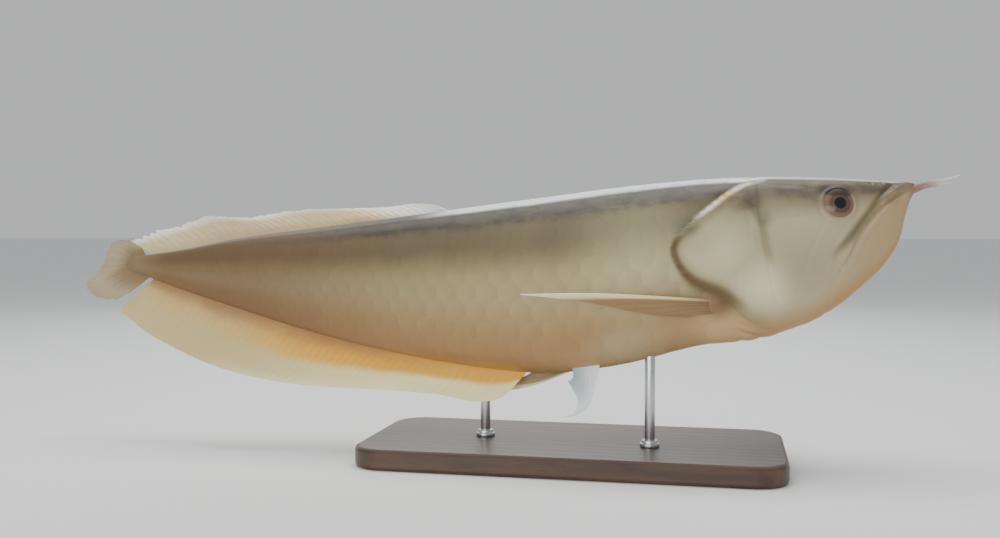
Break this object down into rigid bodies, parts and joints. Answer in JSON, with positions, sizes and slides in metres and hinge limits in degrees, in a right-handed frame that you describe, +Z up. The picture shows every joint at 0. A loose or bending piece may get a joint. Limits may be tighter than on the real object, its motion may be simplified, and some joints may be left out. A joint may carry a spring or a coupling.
{
  "type": "silver arowana",
  "caption": "Long, deep, flat-backed fish with a steep upturned mouth, long rayed dorsal and anal fins and a small tail fin, banked on a two-rod display stand.",
  "frame": {"origin": "centre of the stand base's underside, on the surface that the part rests on", "axes": "+X towards the fish's head, +Z up, -Y towards the fish's right side. The fish is banked 15 degrees, its back towards +Y and its belly towards -Y"},
  "size_m": [0.7121, 0.15, 0.2244],
  "materials": {
    "skin": "pale silvery-cream fish skin with a grey-brown back, satin",
    "gill_cover": "greenish-cream bony gill cover with a pearly sheen",
    "fin": "thin cream fin membrane with fine rays",
    "gold_fin": "cream fin membrane, orange-yellow along its root, with fine rays",
    "eye": "glossy eye with a dark pupil in a red-brown iris",
    "barbel": "pinkish-grey feeler paling to its tip",
    "stand_wood": "dark stained wood, satin varnish",
    "stand_steel": "brushed along the rod"
  },
  "bodies": {
    "root": {"head": "skin", "lower_jaw": "skin", "gill_cover_right": "gill_cover", "gill_cover_left": "gill_cover", "trunk": "skin", "tail": "skin", "tail_stalk": "skin", "eye_right": "eye", "eye_left": "eye", "barbel_right": "barbel", "barbel_left": "barbel", "dorsal_fin": "fin", "anal_fin": "gold_fin", "caudal_fin": "fin", "pectoral_fin_right": "fin", "pectoral_fin_left": "fin", "pelvic_fin_right": "fin", "pelvic_fin_left": "fin", "stand_base": "stand_wood", "stand_rod_front": "stand_steel", "stand_rod_rear": "stand_steel"}
  },
  "joints": []
}
